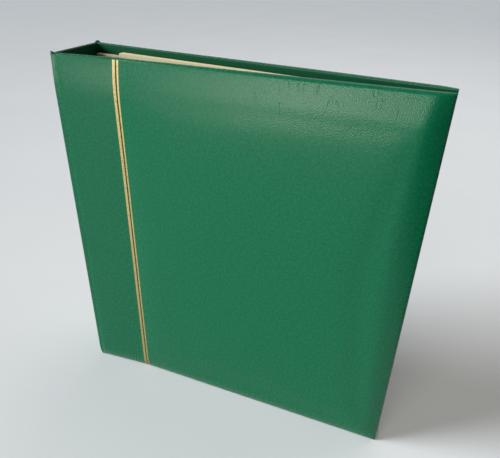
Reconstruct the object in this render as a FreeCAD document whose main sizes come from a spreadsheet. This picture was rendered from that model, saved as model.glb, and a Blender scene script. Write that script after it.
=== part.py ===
import FreeCAD, Part
import math
import os

import Sketcher

# A padded stamp album standing on its lower edges, slightly open like a wedge.
# +Z is up, the front cover faces -Y, and the spine stands along Y at the left.
# The origin is the middle of the spine's lower edge.

LEAF_COUNT = 12
POST_COUNT = 4
RIVET_COUNT = 3

# Driving dimensions in millimetres and degrees
SIZES = {
    "cover_height": 309.5,
    "spine_width": 56.0,
    "strip_width": 57.0,
    "panel_width": 233.0,
    "back_width": 290.0,
    "strip_angle": 7.7,
    "panel_angle": 3.3,
    "back_angle": 4.0,
    "board": 2.5,
    "skin": 0.5,
    "lining": 0.4,
    "pad_rim": 0.6,
    "pad_crown": 4.0,
    "pad_clear": 0.1,
    "roll_fore": 22.0,
    "roll_head": 12.0,
    "roll_spine": 9.0,
    "joint_radius": 2.2,
    "joint_wall": 0.9,
    "joint_gap": 2.0,
    "joint_proud": 1.5,
    "fold_gap": 1.1,
    "fold_clear": 0.05,
    "board_gap": 3.0,
    "gold_wide": 2.5,
    "gold_narrow": 1.7,
    "gold_thick": 0.1,
    "leaf_thick": 0.3,
    "leaf_pitch": 0.42,
    "leaf_width": 252.0,
    "leaf_height": 302.0,
    "stub_inset": 7.5,
    "stub_width": 20.2,
    "stub_height": 294.6,
    "stub_thick": 0.4,
    "linen_width": 4.3,
    "bar_width": 14.0,
    "bar_length": 280.0,
    "bar_thick": 1.0,
    "press_thick": 1.2,
    "post_radius": 2.5,
    "post_spacing": 75.0,
    "post_short": 0.3,
    "rivet_radius": 1.5,
    "thread_radius": 1.5,
    "screw_head_radius": 4.5,
    "screw_head_thick": 1.8,
    "screw_length": 5.5,
    "slot_width": 1.2,
    "slot_depth": 0.9,
    "paper_clear": 0.25,
    "fit_clear": 0.05,
    "seat_clear": 0.02,
}

doc = FreeCAD.newDocument("stamp_album")
dims = doc.addObject("Spreadsheet::Sheet", "dims")
for row, (name, number) in enumerate(SIZES.items(), start=1):
    dims.set(f"A{row}", name)
    dims.set(f"B{row}", str(number))
    dims.setAlias(f"B{row}", name)
doc.recompute()

# How far a cutting tool goes past the piece that it cuts
SPARE = "1"

# Sizes worked out from the driving ones, as expressions
HALF_HEIGHT = "dims.cover_height / 2"
RISE = "(dims.pad_crown - dims.pad_rim)"
BOARD_FACE = "(dims.skin + dims.pad_rim)"
LINING_FACE = f"({BOARD_FACE} + dims.board)"
COVER = f"({LINING_FACE} + dims.lining)"
SPINE = "(dims.skin + dims.board + dims.lining)"
FRONT_TANGENT = "(dims.joint_radius / tan((90 - dims.strip_angle) / 2))"
BACK_TANGENT = "(dims.joint_radius / tan((90 - dims.back_angle) / 2))"
FRONT_START = f"({FRONT_TANGENT} + dims.joint_gap)"
BACK_START = f"({BACK_TANGENT} + dims.joint_gap)"
INNER_HEIGHT = "(dims.cover_height - 2 * dims.skin)"
STUB_FOOT = f"({COVER} + dims.bar_thick)"
STUB_TOP = f"({STUB_FOOT} + {LEAF_COUNT} * dims.leaf_pitch)"
POST_PLACE = "(dims.stub_inset + dims.stub_width / 2)"
PRESS_TOP = f"({STUB_TOP} + dims.press_thick)"
POST_SPAN = f"({POST_COUNT - 1} * dims.post_spacing)"
RIVET_SPAN = f"({RIVET_COUNT - 1} * dims.post_spacing)"

# Each cover's own frame: where its rim starts beside the spine, its turn about Z and whether it is
# turned over. In every cover's frame X runs to the fore-edge, Y points into the album from the
# outer face's rim, and Z is counted from half the cover's height.
STRIP_FRAME = (f"-{SPINE} / 2", "-dims.spine_width / 2", "dims.strip_angle", False)
PANEL_FRAME = (
    f"-{SPINE} / 2 + dims.strip_width * cos(dims.strip_angle)",
    "-dims.spine_width / 2 + dims.strip_width * sin(dims.strip_angle)",
    "dims.panel_angle",
    False,
)
BACK_FRAME = (f"-{SPINE} / 2", "dims.spine_width / 2", "-dims.back_angle", True)

nodes = []


def value(expression):
    """The number that an expression gives with the sheet's present sizes."""
    found = dims.evalExpression(expression)
    return float(getattr(found, "Value", found))


def add(kind, name, **expressions):
    """A new object with properties bound to expressions on the sheet."""
    thing = doc.addObject(kind, name)
    for prop, expression in expressions.items():
        thing.setExpression(prop, expression)
    return thing


def move(thing, x="0", y="0", z="0", angle="0"):
    """Place an object by expressions, turned about Z."""
    thing.Placement = FreeCAD.Placement(FreeCAD.Vector(), FreeCAD.Rotation(FreeCAD.Vector(0, 0, 1), 1))
    for axis, expression in zip("xyz", (x, y, z)):
        thing.setExpression(f"Placement.Base.{axis}", expression)
    thing.setExpression("Placement.Rotation.Angle", angle)
    return thing


def place(thing, frame, along="0", inward="0", up="0"):
    """Put an object into a cover's frame, with its own origin at the place given there."""
    x, y, angle, turned_over = frame
    side = "-1" if turned_over else "1"
    move(
        thing,
        f"{x} + ({along}) * cos({angle}) - {side} * ({inward}) * sin({angle})",
        f"{y} + ({along}) * sin({angle}) + {side} * ({inward}) * cos({angle})",
        f"{HALF_HEIGHT} + {side} * ({up})",
        angle,
    )
    if turned_over:
        thing.setExpression("Placement.Rotation.Angle", "180")
        thing.setExpression("Placement.Rotation.Axis.x", f"cos(({angle}) / 2)")
        thing.setExpression("Placement.Rotation.Axis.y", f"sin(({angle}) / 2)")
        thing.setExpression("Placement.Rotation.Axis.z", "0")
    return thing


def node(thing, label):
    """Mark a finished sub-part; its label names its file."""
    thing.Label = label
    nodes.append(thing)
    return thing


def box(name, frame, along, inward, thick, width, height):
    """A flat sheet in a cover's frame, centred on half the cover's height."""
    sheet = add("Part::Box", name, Length=width, Width=thick, Height=height)
    return place(sheet, frame, along, inward, f"-({height}) / 2")


def new_body(name):
    body = doc.addObject("PartDesign::Body", name)
    body.AllowCompound = True
    return body


def origin_feature(body, role):
    return next(feature for feature in body.Origin.OriginFeatures if feature.Role == role)


def new_sketch(body, name, plane):
    sketch = body.newObject("Sketcher::SketchObject", name)
    sketch.AttachmentSupport = [(origin_feature(body, plane), "")]
    sketch.MapMode = "FlatFace"
    return sketch


def pin_point(sketch, edge, end, x, y):
    """Fix a point of an edge at a place given by two expressions."""
    for kind, expression in (("DistanceX", x), ("DistanceY", y)):
        index = sketch.addConstraint(Sketcher.Constraint(kind, -1, 1, edge, end, value(expression)))
        sketch.setExpression(f"Constraints[{index}]", expression)


def rolled_edge(first, last, joined, upright):
    """The arc, clockwise from first to last, that runs smoothly into a flat face at joined."""
    chord = (last if joined == first else first) - joined
    radius = chord.Length ** 2 / (2 * (chord.y if upright else chord.x))
    centre = joined + (FreeCAD.Vector(0, radius, 0) if upright else FreeCAD.Vector(radius, 0, 0))
    circle = Part.Circle(centre, FreeCAD.Vector(0, 0, 1), abs(radius))
    turns = [math.atan2(spot.y - centre.y, spot.x - centre.x) for spot in (last, first)]
    return Part.ArcOfCircle(circle, *turns)


def draw_outline(sketch, corners, arcs):
    """A closed outline, clockwise through corners given as expressions.

    arcs maps an edge's number to (the corner where it runs into a flat face, and whether
    its centre is straight above or below that corner rather than level with it).
    """
    spots = [FreeCAD.Vector(value(x), value(y), 0) for x, y in corners]
    count = len(spots)
    ends = [(2, 1) if number in arcs else (1, 2) for number in range(count)]
    for number, spot in enumerate(spots):
        after = spots[(number + 1) % count]
        if number in arcs:
            joined, upright = arcs[number]
            sketch.addGeometry(rolled_edge(spot, after, spots[joined], upright), False)
        else:
            sketch.addGeometry(Part.LineSegment(spot, after), False)
    for number, (x, y) in enumerate(corners):
        after = (number + 1) % count
        pin_point(sketch, number, ends[number][0], x, y)
        meeting = (number, ends[number][1], after, ends[after][0])
        sketch.addConstraint(Sketcher.Constraint("Coincident", *meeting))
    for number, (joined, upright) in arcs.items():
        level = "Vertical" if upright else "Horizontal"
        sketch.addConstraint(Sketcher.Constraint(level, number, 3, joined, ends[joined][0]))


def padded_block(name, start, end, half_height, rim, crown, back, near_roll=None, far_roll=None):
    """A block with a flat crowned face at Y = -crown whose edges roll over down to Y = rim.

    The head and the tail always roll over; the near and far ends do so where a width is given.
    """
    body = new_body(name)
    corners = [(start, back), (end, back)]
    arcs = {}
    if far_roll:
        arcs[len(corners)] = (len(corners) + 1, True)
        corners.append((end, rim))
    corners.append((f"{end} - ({far_roll or 0})", f"-({crown})"))
    corners.append((f"{start} + ({near_roll or 0})", f"-({crown})"))
    if near_roll:
        arcs[len(corners) - 1] = (len(corners) - 1, True)
        corners.append((start, rim))
    profile = new_sketch(body, name + "_profile", "XY_Plane")
    draw_outline(profile, corners, arcs)
    pad = body.newObject("PartDesign::Pad", name + "_pad")
    pad.Profile = profile
    pad.SideType = "Symmetric"
    pad.setExpression("Length", f"2 * ({half_height})")

    # The waste above the rolled head, cut right along the block and mirrored to the tail
    flat_end = f"{half_height} - dims.roll_head"
    head = [
        (f"-({crown})", flat_end),
        (rim, half_height),
        (rim, f"{half_height} + {SPARE}"),
        (f"-({crown}) - {SPARE}", f"{half_height} + {SPARE}"),
        (f"-({crown}) - {SPARE}", flat_end),
    ]
    waste = new_sketch(body, name + "_waste", "YZ_Plane")
    draw_outline(waste, head, {0: (0, False)})
    cut = body.newObject("PartDesign::Pocket", name + "_head")
    cut.Profile = waste
    cut.SideType = "Symmetric"
    cut.Type = "ThroughAll"
    doc.recompute()
    mirror = body.newObject("PartDesign::Mirrored", name + "_tail")
    mirror.Originals = [cut]
    mirror.MirrorPlane = (origin_feature(body, "XY_Plane"), [""])
    body.Tip = mirror
    doc.recompute()
    return body


def cut_from(name, base, tool):
    result = doc.addObject("Part::Cut", name)
    result.Base = base
    result.Tool = tool
    return result


def padded_cover(prefix, frame, start, end, near_roll, far_roll):
    """The skin and the pad of one padded cover, in the cover's frame.

    The skin goes over the head and the tail, and over the far end where that is rolled.
    """
    inner_end = f"{end} - dims.skin" if far_roll else end
    open_end = inner_end if far_roll else f"{end} + {SPARE}"
    inner_half = f"{HALF_HEIGHT} - dims.skin"
    outside = padded_block(
        prefix + "_outside", start, end, HALF_HEIGHT, "0", RISE, COVER, near_roll, far_roll
    )
    open_roll = f"{near_roll} + {SPARE}" if near_roll else None
    inside = padded_block(
        prefix + "_inside", f"{start} - {SPARE}", open_end, inner_half,
        "dims.skin", f"{RISE} - dims.skin", f"{COVER} + {SPARE}", open_roll, far_roll,
    )
    skin = cut_from(prefix + "_skin", outside, inside)
    node(place(skin, frame), prefix + "_skin")
    pad_inset = "dims.skin + dims.pad_clear"
    pad = padded_block(
        prefix + "_pad", start, inner_end, inner_half,
        pad_inset, f"{RISE} - ({pad_inset})", BOARD_FACE, near_roll, far_roll,
    )
    node(place(pad, frame), prefix + "_pad")


def flat_layer(name, frame, inward, thick, start, end):
    """A board or a lining from start to end along a cover, as high as the space inside its skin."""
    node(box(name, frame, start, inward, thick, f"{end} - ({start})", INNER_HEIGHT), name)


def gold_line(name, frame, start, width):
    """A thin gilt band laid over the padded face from head to tail."""
    end = f"{start} + {width}"
    crown = f"{RISE} + dims.gold_thick"
    over = padded_block(name + "_over", start, end, HALF_HEIGHT, "-dims.gold_thick", crown, RISE)
    past = (f"{start} - {SPARE}", f"{end} + {SPARE}")
    under = padded_block(name + "_under", *past, HALF_HEIGHT, "0", RISE, f"{RISE} + {SPARE}")
    node(place(cut_from(name, over, under), frame), name)


def corner_joint(name, side, tangent, lean):
    """The leatherette that goes round a spine corner, centred on the hinge's axis.

    side is -1 at the front corner and 1 at the back one; lean is the cover's angle from square.
    """
    height = "dims.cover_height + dims.joint_proud"
    axis_x = f"-{SPINE} / 2 + dims.joint_radius"
    axis_y = f"{side} * (dims.spine_width / 2 - {tangent})"
    turn = f"90 + ({lean})"
    begin = "180" if side < 0 else f"180 - ({turn})"
    outer = add("Part::Cylinder", name + "_outer", Radius="dims.joint_radius", Height=height, Angle=turn)
    bore_radius = "dims.joint_radius - dims.joint_wall"
    bore = add("Part::Cylinder", name + "_bore", Radius=bore_radius, Height=height)
    bend = cut_from(name + "_bend", move(outer, axis_x, axis_y, "0", begin), move(bore, axis_x, axis_y))
    wall, gap = "dims.joint_wall", "dims.joint_gap"
    spine_leg = add("Part::Box", name + "_spine_leg", Length=wall, Width=gap, Height=height)
    leg_start = axis_y if side < 0 else f"{axis_y} - dims.joint_gap"
    move(spine_leg, f"-{SPINE} / 2", leg_start)
    cover_leg = add("Part::Box", name + "_cover_leg", Length=gap, Width=wall, Height=height)
    reach = "dims.joint_radius" if side < 0 else "(dims.joint_radius - dims.joint_wall)"
    tilt = f"{-side} * ({lean})"
    move(
        cover_leg,
        f"{axis_x} - {side} * {reach} * sin({tilt})",
        f"{axis_y} + {side} * {reach} * cos({tilt})",
        "0",
        tilt,
    )
    joined = doc.addObject("Part::MultiFuse", name)
    joined.Shapes = [bend, spine_leg, cover_leg]
    joined.Refine = True
    return node(joined, name)


def holed_plate(name, width, height, thick, holes):
    """A flat plate from X = 0, centred on Z = 0, with rows of round holes.

    holes lists each row as (radius, X, spacing, how many up the plate).
    """
    body = new_body(name)
    sketch = new_sketch(body, name + "_outline", "XZ_Plane")
    half = f"({height}) / 2"
    draw_outline(sketch, [("0", f"-{half}"), ("0", half), (width, half), (width, f"-{half}")], {})
    for radius, across, spacing, count in holes:
        for number in range(count):
            up = f"({number} - {(count - 1) / 2}) * {spacing}"
            centre = FreeCAD.Vector(value(across), value(up), 0)
            circle = Part.Circle(centre, FreeCAD.Vector(0, 0, 1), value(radius))
            edge = sketch.addGeometry(circle, False)
            pin_point(sketch, edge, 3, across, up)
            index = sketch.addConstraint(Sketcher.Constraint("Radius", edge, value(radius)))
            sketch.setExpression(f"Constraints[{index}]", radius)
    pad = body.newObject("PartDesign::Pad", name + "_pad")
    pad.Profile = sketch
    pad.Reversed = True
    pad.setExpression("Length", thick)
    doc.recompute()
    return body


def repeated(body, features, axis, span, count):
    """Repeat features of a body evenly along one of its axes."""
    pattern = body.newObject("PartDesign::LinearPattern", body.Name + "_row")
    pattern.Originals = features
    pattern.Direction = (origin_feature(body, axis), [""])
    pattern.Occurrences = count
    pattern.setExpression("Length", span)
    body.Tip = pattern
    doc.recompute()


def turned_row(name, profile, span, count):
    """Equal turned pieces in a row up the album, from a profile of (radius, inward) places about Y."""
    body = new_body(name)
    sketch = new_sketch(body, name + "_profile", "XY_Plane")
    draw_outline(sketch, profile, {})
    turned = body.newObject("PartDesign::Revolution", name + "_turned")
    turned.Profile = sketch
    turned.ReferenceAxis = (origin_feature(body, "Y_Axis"), [""])
    turned.Angle = 360
    doc.recompute()
    repeated(body, [turned], "Z_Axis", span, count)
    return body


def make_spine():
    """The stiff spine between the two corner joints, its leatherette and its lining."""
    start = f"-dims.spine_width / 2 + {FRONT_START}"
    length = f"dims.spine_width - {FRONT_START} - {BACK_START}"
    face = f"-{SPINE} / 2"
    outside = add("Part::Box", "spine_outside", Length=SPINE, Width=length, Height="dims.cover_height")
    open_length = f"{length} + 2 * {SPARE}"
    inside = add("Part::Box", "spine_inside", Length=SPINE, Width=open_length, Height=INNER_HEIGHT)
    move(outside, face, start)
    move(inside, f"{face} + dims.skin", f"{start} - {SPARE}", "dims.skin")
    node(cut_from("spine_skin", outside, inside), "spine_skin")
    board = add("Part::Box", "spine_board", Length="dims.board", Width=length, Height=INNER_HEIGHT)
    node(move(board, f"{face} + dims.skin", start, "dims.skin"), "spine_board")
    lining = add("Part::Box", "spine_lining", Length="dims.lining", Width=length, Height=INNER_HEIGHT)
    node(move(lining, f"{face} + dims.skin + dims.board", start, "dims.skin"), "spine_lining")


def make_front():
    """The hinge strip, the front panel, the fold between them and the gold lines beside it."""
    strip_end = "(dims.strip_width - dims.fold_gap / 2)"
    strip_board_end = "(dims.strip_width - dims.board_gap)"
    padded_cover("strip", STRIP_FRAME, FRONT_START, strip_end, "dims.roll_spine", None)
    flat_layer("strip_board", STRIP_FRAME, BOARD_FACE, "dims.board", FRONT_START, strip_board_end)
    flat_layer("strip_lining", STRIP_FRAME, LINING_FACE, "dims.lining", FRONT_START, strip_end)
    panel_start, panel_end = "(dims.fold_gap / 2)", "dims.panel_width"
    inner_end = f"({panel_end} - dims.skin)"
    padded_cover("front", PANEL_FRAME, panel_start, panel_end, None, "dims.roll_fore")
    flat_layer("front_board", PANEL_FRAME, BOARD_FACE, "dims.board", "dims.board_gap", inner_end)
    flat_layer("front_lining", PANEL_FRAME, LINING_FACE, "dims.lining", panel_start, inner_end)
    bend = "(dims.strip_angle - dims.panel_angle)"
    fold_start = f"-dims.fold_gap / 2 + {RISE} * sin({bend}) + dims.fold_clear"
    fold_end = "(dims.fold_gap / 2 - dims.fold_clear)"
    fold = padded_block("fold_joint", fold_start, fold_end, HALF_HEIGHT, "0", RISE, COVER)
    node(place(fold, PANEL_FRAME), "fold_joint")
    gold_line("gold_line_wide", STRIP_FRAME, f"({strip_end} - dims.gold_wide)", "dims.gold_wide")
    gold_line("gold_line_narrow", PANEL_FRAME, panel_start, "dims.gold_narrow")


def make_back():
    """The back cover, with holes in its board and lining for the fitting's rivets."""
    end = "dims.back_width"
    padded_cover("back", BACK_FRAME, BACK_START, end, "dims.roll_spine", "dims.roll_fore")
    across = f"{POST_PLACE} - {BACK_START}"
    hole = ("dims.rivet_radius + dims.fit_clear", across, "dims.post_spacing", RIVET_COUNT)
    width = f"({end} - dims.skin) - {BACK_START}"
    for name, face, thick in (
        ("back_board", BOARD_FACE, "dims.board"),
        ("back_lining", LINING_FACE, "dims.lining"),
    ):
        holed = holed_plate(name, width, INNER_HEIGHT, thick, [hole])
        node(place(holed, BACK_FRAME, BACK_START, face), name)


def make_fitting():
    """The bar riveted to the back cover, its threaded posts, the pressure bar and the screws."""
    post = ("dims.post_spacing", POST_COUNT)
    middle = "dims.bar_width / 2"
    bar_start = f"{POST_PLACE} - {middle}"
    rivet_hole = ("dims.rivet_radius + dims.fit_clear", middle, "dims.post_spacing", RIVET_COUNT)
    bar_face = ("dims.bar_width", "dims.bar_length")
    bar = holed_plate("peg_bar", *bar_face, "dims.bar_thick", [rivet_hole])
    node(place(bar, BACK_FRAME, bar_start, COVER), "peg_bar")
    press_hole = ("dims.post_radius + dims.fit_clear", middle, *post)
    press = holed_plate("pressure_bar", *bar_face, "dims.press_thick", [press_hole])
    node(place(press, BACK_FRAME, bar_start, STUB_TOP), "pressure_bar")

    rivet = [
        ("0", BOARD_FACE),
        ("0", STUB_FOOT),
        ("dims.rivet_radius", STUB_FOOT),
        ("dims.rivet_radius", BOARD_FACE),
    ]
    rivets = turned_row("peg_bar_rivets", rivet, RIVET_SPAN, RIVET_COUNT)
    node(place(rivets, BACK_FRAME, POST_PLACE, "0", f"-{RIVET_SPAN} / 2"), "peg_bar_rivets")

    post_end = f"({PRESS_TOP} - dims.post_short)"
    tube = [
        ("dims.thread_radius", STUB_FOOT),
        ("dims.thread_radius", post_end),
        ("dims.post_radius", post_end),
        ("dims.post_radius", STUB_FOOT),
    ]
    posts = turned_row("binding_posts", tube, POST_SPAN, POST_COUNT)
    node(place(posts, BACK_FRAME, POST_PLACE, "0", f"-{POST_SPAN} / 2"), "binding_posts")

    shank = "(dims.thread_radius - dims.fit_clear)"
    head_foot = f"({PRESS_TOP} + dims.seat_clear)"
    head_top = f"({head_foot} + dims.screw_head_thick)"
    tip = f"({head_foot} - dims.screw_length)"
    screw = [
        ("0", tip),
        ("0", head_top),
        ("dims.screw_head_radius", head_top),
        ("dims.screw_head_radius", head_foot),
        (shank, head_foot),
        (shank, tip),
    ]
    screws = turned_row("screw_blanks", screw, POST_SPAN, POST_COUNT)
    slots = doc.addObject("Part::Compound", "coin_slots")
    slots.Links = [coin_slot(number, head_top) for number in range(POST_COUNT)]
    cut = cut_from("post_screws", screws, slots)
    node(place(cut, BACK_FRAME, POST_PLACE, "0", f"-{POST_SPAN} / 2"), "post_screws")


def coin_slot(number, head_top):
    """The slot across one screw's head."""
    width = f"2 * dims.screw_head_radius + 2 * {SPARE}"
    depth = f"dims.slot_depth + {SPARE}"
    slot = add("Part::Box", f"coin_slot_{number}", Length=width, Width=depth, Height="dims.slot_width")
    up = f"{number} * dims.post_spacing - dims.slot_width / 2"
    return move(slot, f"-({width}) / 2", f"{head_top} - dims.slot_depth", up)


def make_leaves():
    """The leaves, each a sheet and a linen joint, and the stubs that the posts go through."""
    hole = ("dims.post_radius + dims.paper_clear", "dims.stub_width / 2", "dims.post_spacing", POST_COUNT)
    stub = holed_plate("stub", "dims.stub_width", "dims.stub_height", "dims.stub_thick", [hole])
    repeated(stub, [stub.Tip], "Y_Axis", f"{LEAF_COUNT - 1} * dims.leaf_pitch", LEAF_COUNT)
    first = f"{STUB_FOOT} + (dims.leaf_pitch - dims.stub_thick) / 2"
    node(place(stub, BACK_FRAME, "dims.stub_inset", first), "leaf_stubs")
    linen_start = "dims.stub_inset + dims.stub_width"
    sheet_start = f"{linen_start} + dims.linen_width"
    for number in range(LEAF_COUNT):
        layer = f"{STUB_FOOT} + {number + 0.5} * dims.leaf_pitch - dims.leaf_thick / 2"
        for kind, start, width, height in (
            ("leaf_sheet", sheet_start, "dims.leaf_width", "dims.leaf_height"),
            ("leaf_linen", linen_start, "dims.linen_width", "dims.stub_height"),
        ):
            name = f"{kind}_{number + 1:02d}"
            node(box(name, BACK_FRAME, start, layer, "dims.leaf_thick", width, height), name)


make_spine()
make_front()
make_back()
make_fitting()
make_leaves()
corner_joint("front_spine_joint", -1, FRONT_TANGENT, "dims.strip_angle")
corner_joint("back_spine_joint", 1, BACK_TANGENT, "dims.back_angle")
doc.recompute()

failed = [thing.Name for thing in doc.Objects if {"Invalid", "Error"} & set(thing.State)]
failed += [thing.Label for thing in nodes if thing.Shape.isNull() or not thing.Shape.isValid()]
if failed:
    raise RuntimeError(f"these failed to build: {failed}")

os.makedirs("parts", exist_ok=True)
for thing in nodes:
    thing.Shape.exportStep(f"parts/{thing.Label}.step")
    print(thing.Label, len(thing.Shape.Solids), "solids", round(thing.Shape.Volume, 2), "mm3")
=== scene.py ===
# %% [markdown]
# # A padded stamp album
#
# The album stands on its lower edges, a little open. Its imported CAD model is the frame: each piece
# made here takes its place from it, and many ride on one of its bodies. The dressed album has to
# stay inside it.

import bmesh
import bpy
import numpy as np
from mathutils import Matrix, Vector


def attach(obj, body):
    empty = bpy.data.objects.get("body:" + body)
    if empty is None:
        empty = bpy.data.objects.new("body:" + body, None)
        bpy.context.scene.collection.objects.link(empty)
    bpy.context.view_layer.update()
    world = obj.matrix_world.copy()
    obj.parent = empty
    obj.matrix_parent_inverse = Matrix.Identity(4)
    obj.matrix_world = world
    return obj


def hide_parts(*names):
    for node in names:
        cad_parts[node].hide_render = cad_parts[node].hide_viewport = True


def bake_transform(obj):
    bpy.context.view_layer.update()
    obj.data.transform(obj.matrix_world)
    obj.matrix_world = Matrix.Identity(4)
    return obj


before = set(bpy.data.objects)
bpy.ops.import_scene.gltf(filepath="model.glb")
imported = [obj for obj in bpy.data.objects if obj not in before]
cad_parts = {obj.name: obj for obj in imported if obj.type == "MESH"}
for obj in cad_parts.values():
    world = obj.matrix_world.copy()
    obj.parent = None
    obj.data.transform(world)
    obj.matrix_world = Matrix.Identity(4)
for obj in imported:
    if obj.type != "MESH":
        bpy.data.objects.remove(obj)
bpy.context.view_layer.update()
MM = 0.001

# %% [markdown]
# ## Where the camera stands
#
# The photograph is 500 by 458 pixels. Its edges and corners, set against the album's sizes, give
# the place, the turn and the focal length of the camera that took it. A camera could be aimed with
# a Track To constraint; three turns in a row say the same in numbers and leave no constraint behind.

# %% Camera
PHOTO_WIDTH, PHOTO_HEIGHT = 500, 458
SENSOR_WIDTH = 36.0
FOCAL_PIXELS = 491.3
OPTICAL_CENTRE = (235.4, 231.0)
CAMERA_PLACE = (0.2951, -0.3184, 0.3842)
NEAREST_SEEN = 0.01
CAMERA_AROUND, CAMERA_ABOVE, CAMERA_ROLL = np.radians([25.46, 30.56, 0.67])

camera_data = bpy.data.cameras.new("camera")
camera_data.sensor_width = SENSOR_WIDTH
camera_data.lens = SENSOR_WIDTH * FOCAL_PIXELS / PHOTO_WIDTH
camera_data.shift_x = (PHOTO_WIDTH / 2 - OPTICAL_CENTRE[0]) / PHOTO_WIDTH
camera_data.shift_y = (OPTICAL_CENTRE[1] - PHOTO_HEIGHT / 2) / PHOTO_WIDTH
camera_data.clip_start = NEAREST_SEEN
camera = bpy.data.objects.new("camera", camera_data)
bpy.context.scene.collection.objects.link(camera)
camera.matrix_world = (
    Matrix.Translation(CAMERA_PLACE)
    @ Matrix.Rotation(CAMERA_AROUND, 4, "Z")
    @ Matrix.Rotation(np.pi / 2 - CAMERA_ABOVE, 4, "X")
    @ Matrix.Rotation(CAMERA_ROLL, 4, "Z")
)
bpy.context.scene.camera = camera
print("camera: lens", round(camera_data.lens, 2), "mm")

# %% [markdown]
# ## Colours and nodes
#
# Colours are written as they look on a screen, as sRGB hex values, and shaders work in linear light,
# so one function turns the first into the second. A material is a small tree of nodes. One more
# function adds a node, sets it and links it. Many finishes start as two colours in an uneven mix,
# so that start is a function too.

# %% Helpers for materials
def linear(code):
    """An sRGB hex colour in linear light: c / 12.92 up to 0.04045, else ((c + 0.055) / 1.055) ** 2.4."""
    srgb = np.array([int(code[place:place + 2], 16) for place in (1, 3, 5)]) / 255
    light = np.where(srgb <= 0.04045, srgb / 12.92, ((srgb + 0.055) / 1.055) ** 2.4)
    return (*light, 1.0)


def new_material(name):
    """An empty node material with its output node; returns the material and its tree."""
    material = bpy.data.materials.new(name)
    material.use_nodes = True
    material.node_tree.nodes.clear()
    material.node_tree.nodes.new("ShaderNodeOutputMaterial")
    return material, material.node_tree


def add_node(tree, kind, inputs, **settings):
    """Adds one node. inputs maps a socket to a value, or to the output that it is linked to."""
    added = tree.nodes.new(kind)
    for name, setting in settings.items():
        setattr(added, name, setting)
    for socket, value in inputs.items():
        if isinstance(value, bpy.types.NodeSocket):
            tree.links.new(value, added.inputs[socket])
        else:
            added.inputs[socket].default_value = value
    return added


def finish_material(tree, **sockets):
    """Links a shader with these sockets set to the material's output; "_" in a name stands for a space."""
    inputs = {name.replace("_", " "): value for name, value in sockets.items()}
    shader = add_node(tree, "ShaderNodeBsdfPrincipled", inputs)
    tree.links.new(shader.outputs[0], tree.nodes["Material Output"].inputs["Surface"])


def mottled_material(name, dark, light, size, detail, stretch=(1, 1, 1)):
    """Starts a material as two colours mixed by a noise of that size, in metres, in the object's own space.

    stretch scales the space along each axis, so a small value draws the noise out along it. Returns
    the material, its tree, the noise and the mixed colour.
    """
    material, tree = new_material(name)
    where = add_node(tree, "ShaderNodeTexCoord", {}).outputs["Object"]
    drawn_out = add_node(tree, "ShaderNodeMapping", {"Vector": where, "Scale": stretch}).outputs[0]
    noise = add_node(tree, "ShaderNodeTexNoise", {"Vector": drawn_out, "Scale": 1 / size, "Detail": detail})
    colours = {0: noise.outputs[0], 6: linear(dark), 7: linear(light)}
    colour = add_node(tree, "ShaderNodeMix", colours, data_type="RGBA")
    return material, tree, noise.outputs[0], colour.outputs[2]


print("middle grey on the screen is", round(linear("#808080")[0], 3), "in linear light")

# %% [markdown]
# ## The table
#
# The album stands on a table painted a matt off-white. One large face is enough for it, with a faint
# mottle in the paint.

# %% Floor
FLOOR_REACH, PAINT_MOTTLE = 6.0, 200 * MM


def stage_sheet(name, corners, material):
    """One flat four-cornered face of the stage, which isn't part of the album."""
    mesh = bpy.data.meshes.new(name)
    mesh.from_pydata(corners, [], [(0, 1, 2, 3)])
    mesh.materials.append(material)
    sheet = bpy.data.objects.new(name, mesh)
    bpy.context.scene.collection.objects.link(sheet)
    return sheet


painted_table, tree, _, paint = mottled_material(
    "painted_table", "#DFE1E2", "#E6E8E8", size=PAINT_MOTTLE, detail=3.0
)
finish_material(tree, Base_Color=paint, Roughness=1.0, Specular_IOR_Level=0.2)
floor_corners = [(x * FLOOR_REACH, y * FLOOR_REACH, 0) for x, y in ((-1, -1), (1, -1), (1, 1), (-1, 1))]
stage_sheet("floor", floor_corners, painted_table)
print("floor:", 2 * FLOOR_REACH, "m wide")

# %% [markdown]
# ## The light
#
# Daylight comes in low from the left and leaves the right edge of the padding in deep shade. A pale
# wall behind the camera shows as the broad sheen along the head of the front cover. A sun lamp with a
# wide angle gives the first, with soft shadows. A rectangular lamp gives the second, because a sheen
# is a blurred picture of what it mirrors, and a narrow spread, as from a grid in front of it, keeps its
# light off the table below it. A third lamp, for the ceiling, lightens the table on the right, and is
# kept out of reflections, because a ceiling would hardly show there.

# %% Lamps
WARM_WHITE, COOL_WHITE = linear("#FFF8F0")[:3], linear("#F6FAFF")[:3]
TO_THE_SUN = Vector((-1.75, -0.85, 0.75))
SUN_STRENGTH, SUN_WIDTH, WALL_SPREAD = 5.0, np.radians(30), np.radians(90)


def lamp(name, place, target, size, power):
    """A rectangular area lamp at place, facing target."""
    data = bpy.data.lights.new(name, "AREA")
    data.shape = "RECTANGLE"
    data.size, data.size_y = size
    data.energy = power
    data.color = WARM_WHITE
    made = bpy.data.objects.new(name, data)
    bpy.context.scene.collection.objects.link(made)
    away = Vector(place) - Vector(target)
    made.matrix_world = Matrix.Translation(place) @ away.to_track_quat("Z", "Y").to_matrix().to_4x4()
    return made


pale_wall = lamp(
    "pale_wall", place=(-0.07, -1.5, 0.33), target=(0.14, 0.0, 0.33), size=(0.78, 0.36), power=3.7
)
pale_wall.data.spread = WALL_SPREAD
ceiling = lamp(
    "ceiling", place=(0.5, 0.9, 1.7), target=(0.3, 0.0, 0.0), size=(1.6, 1.2), power=10.0
)
ceiling.visible_glossy = False

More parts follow.
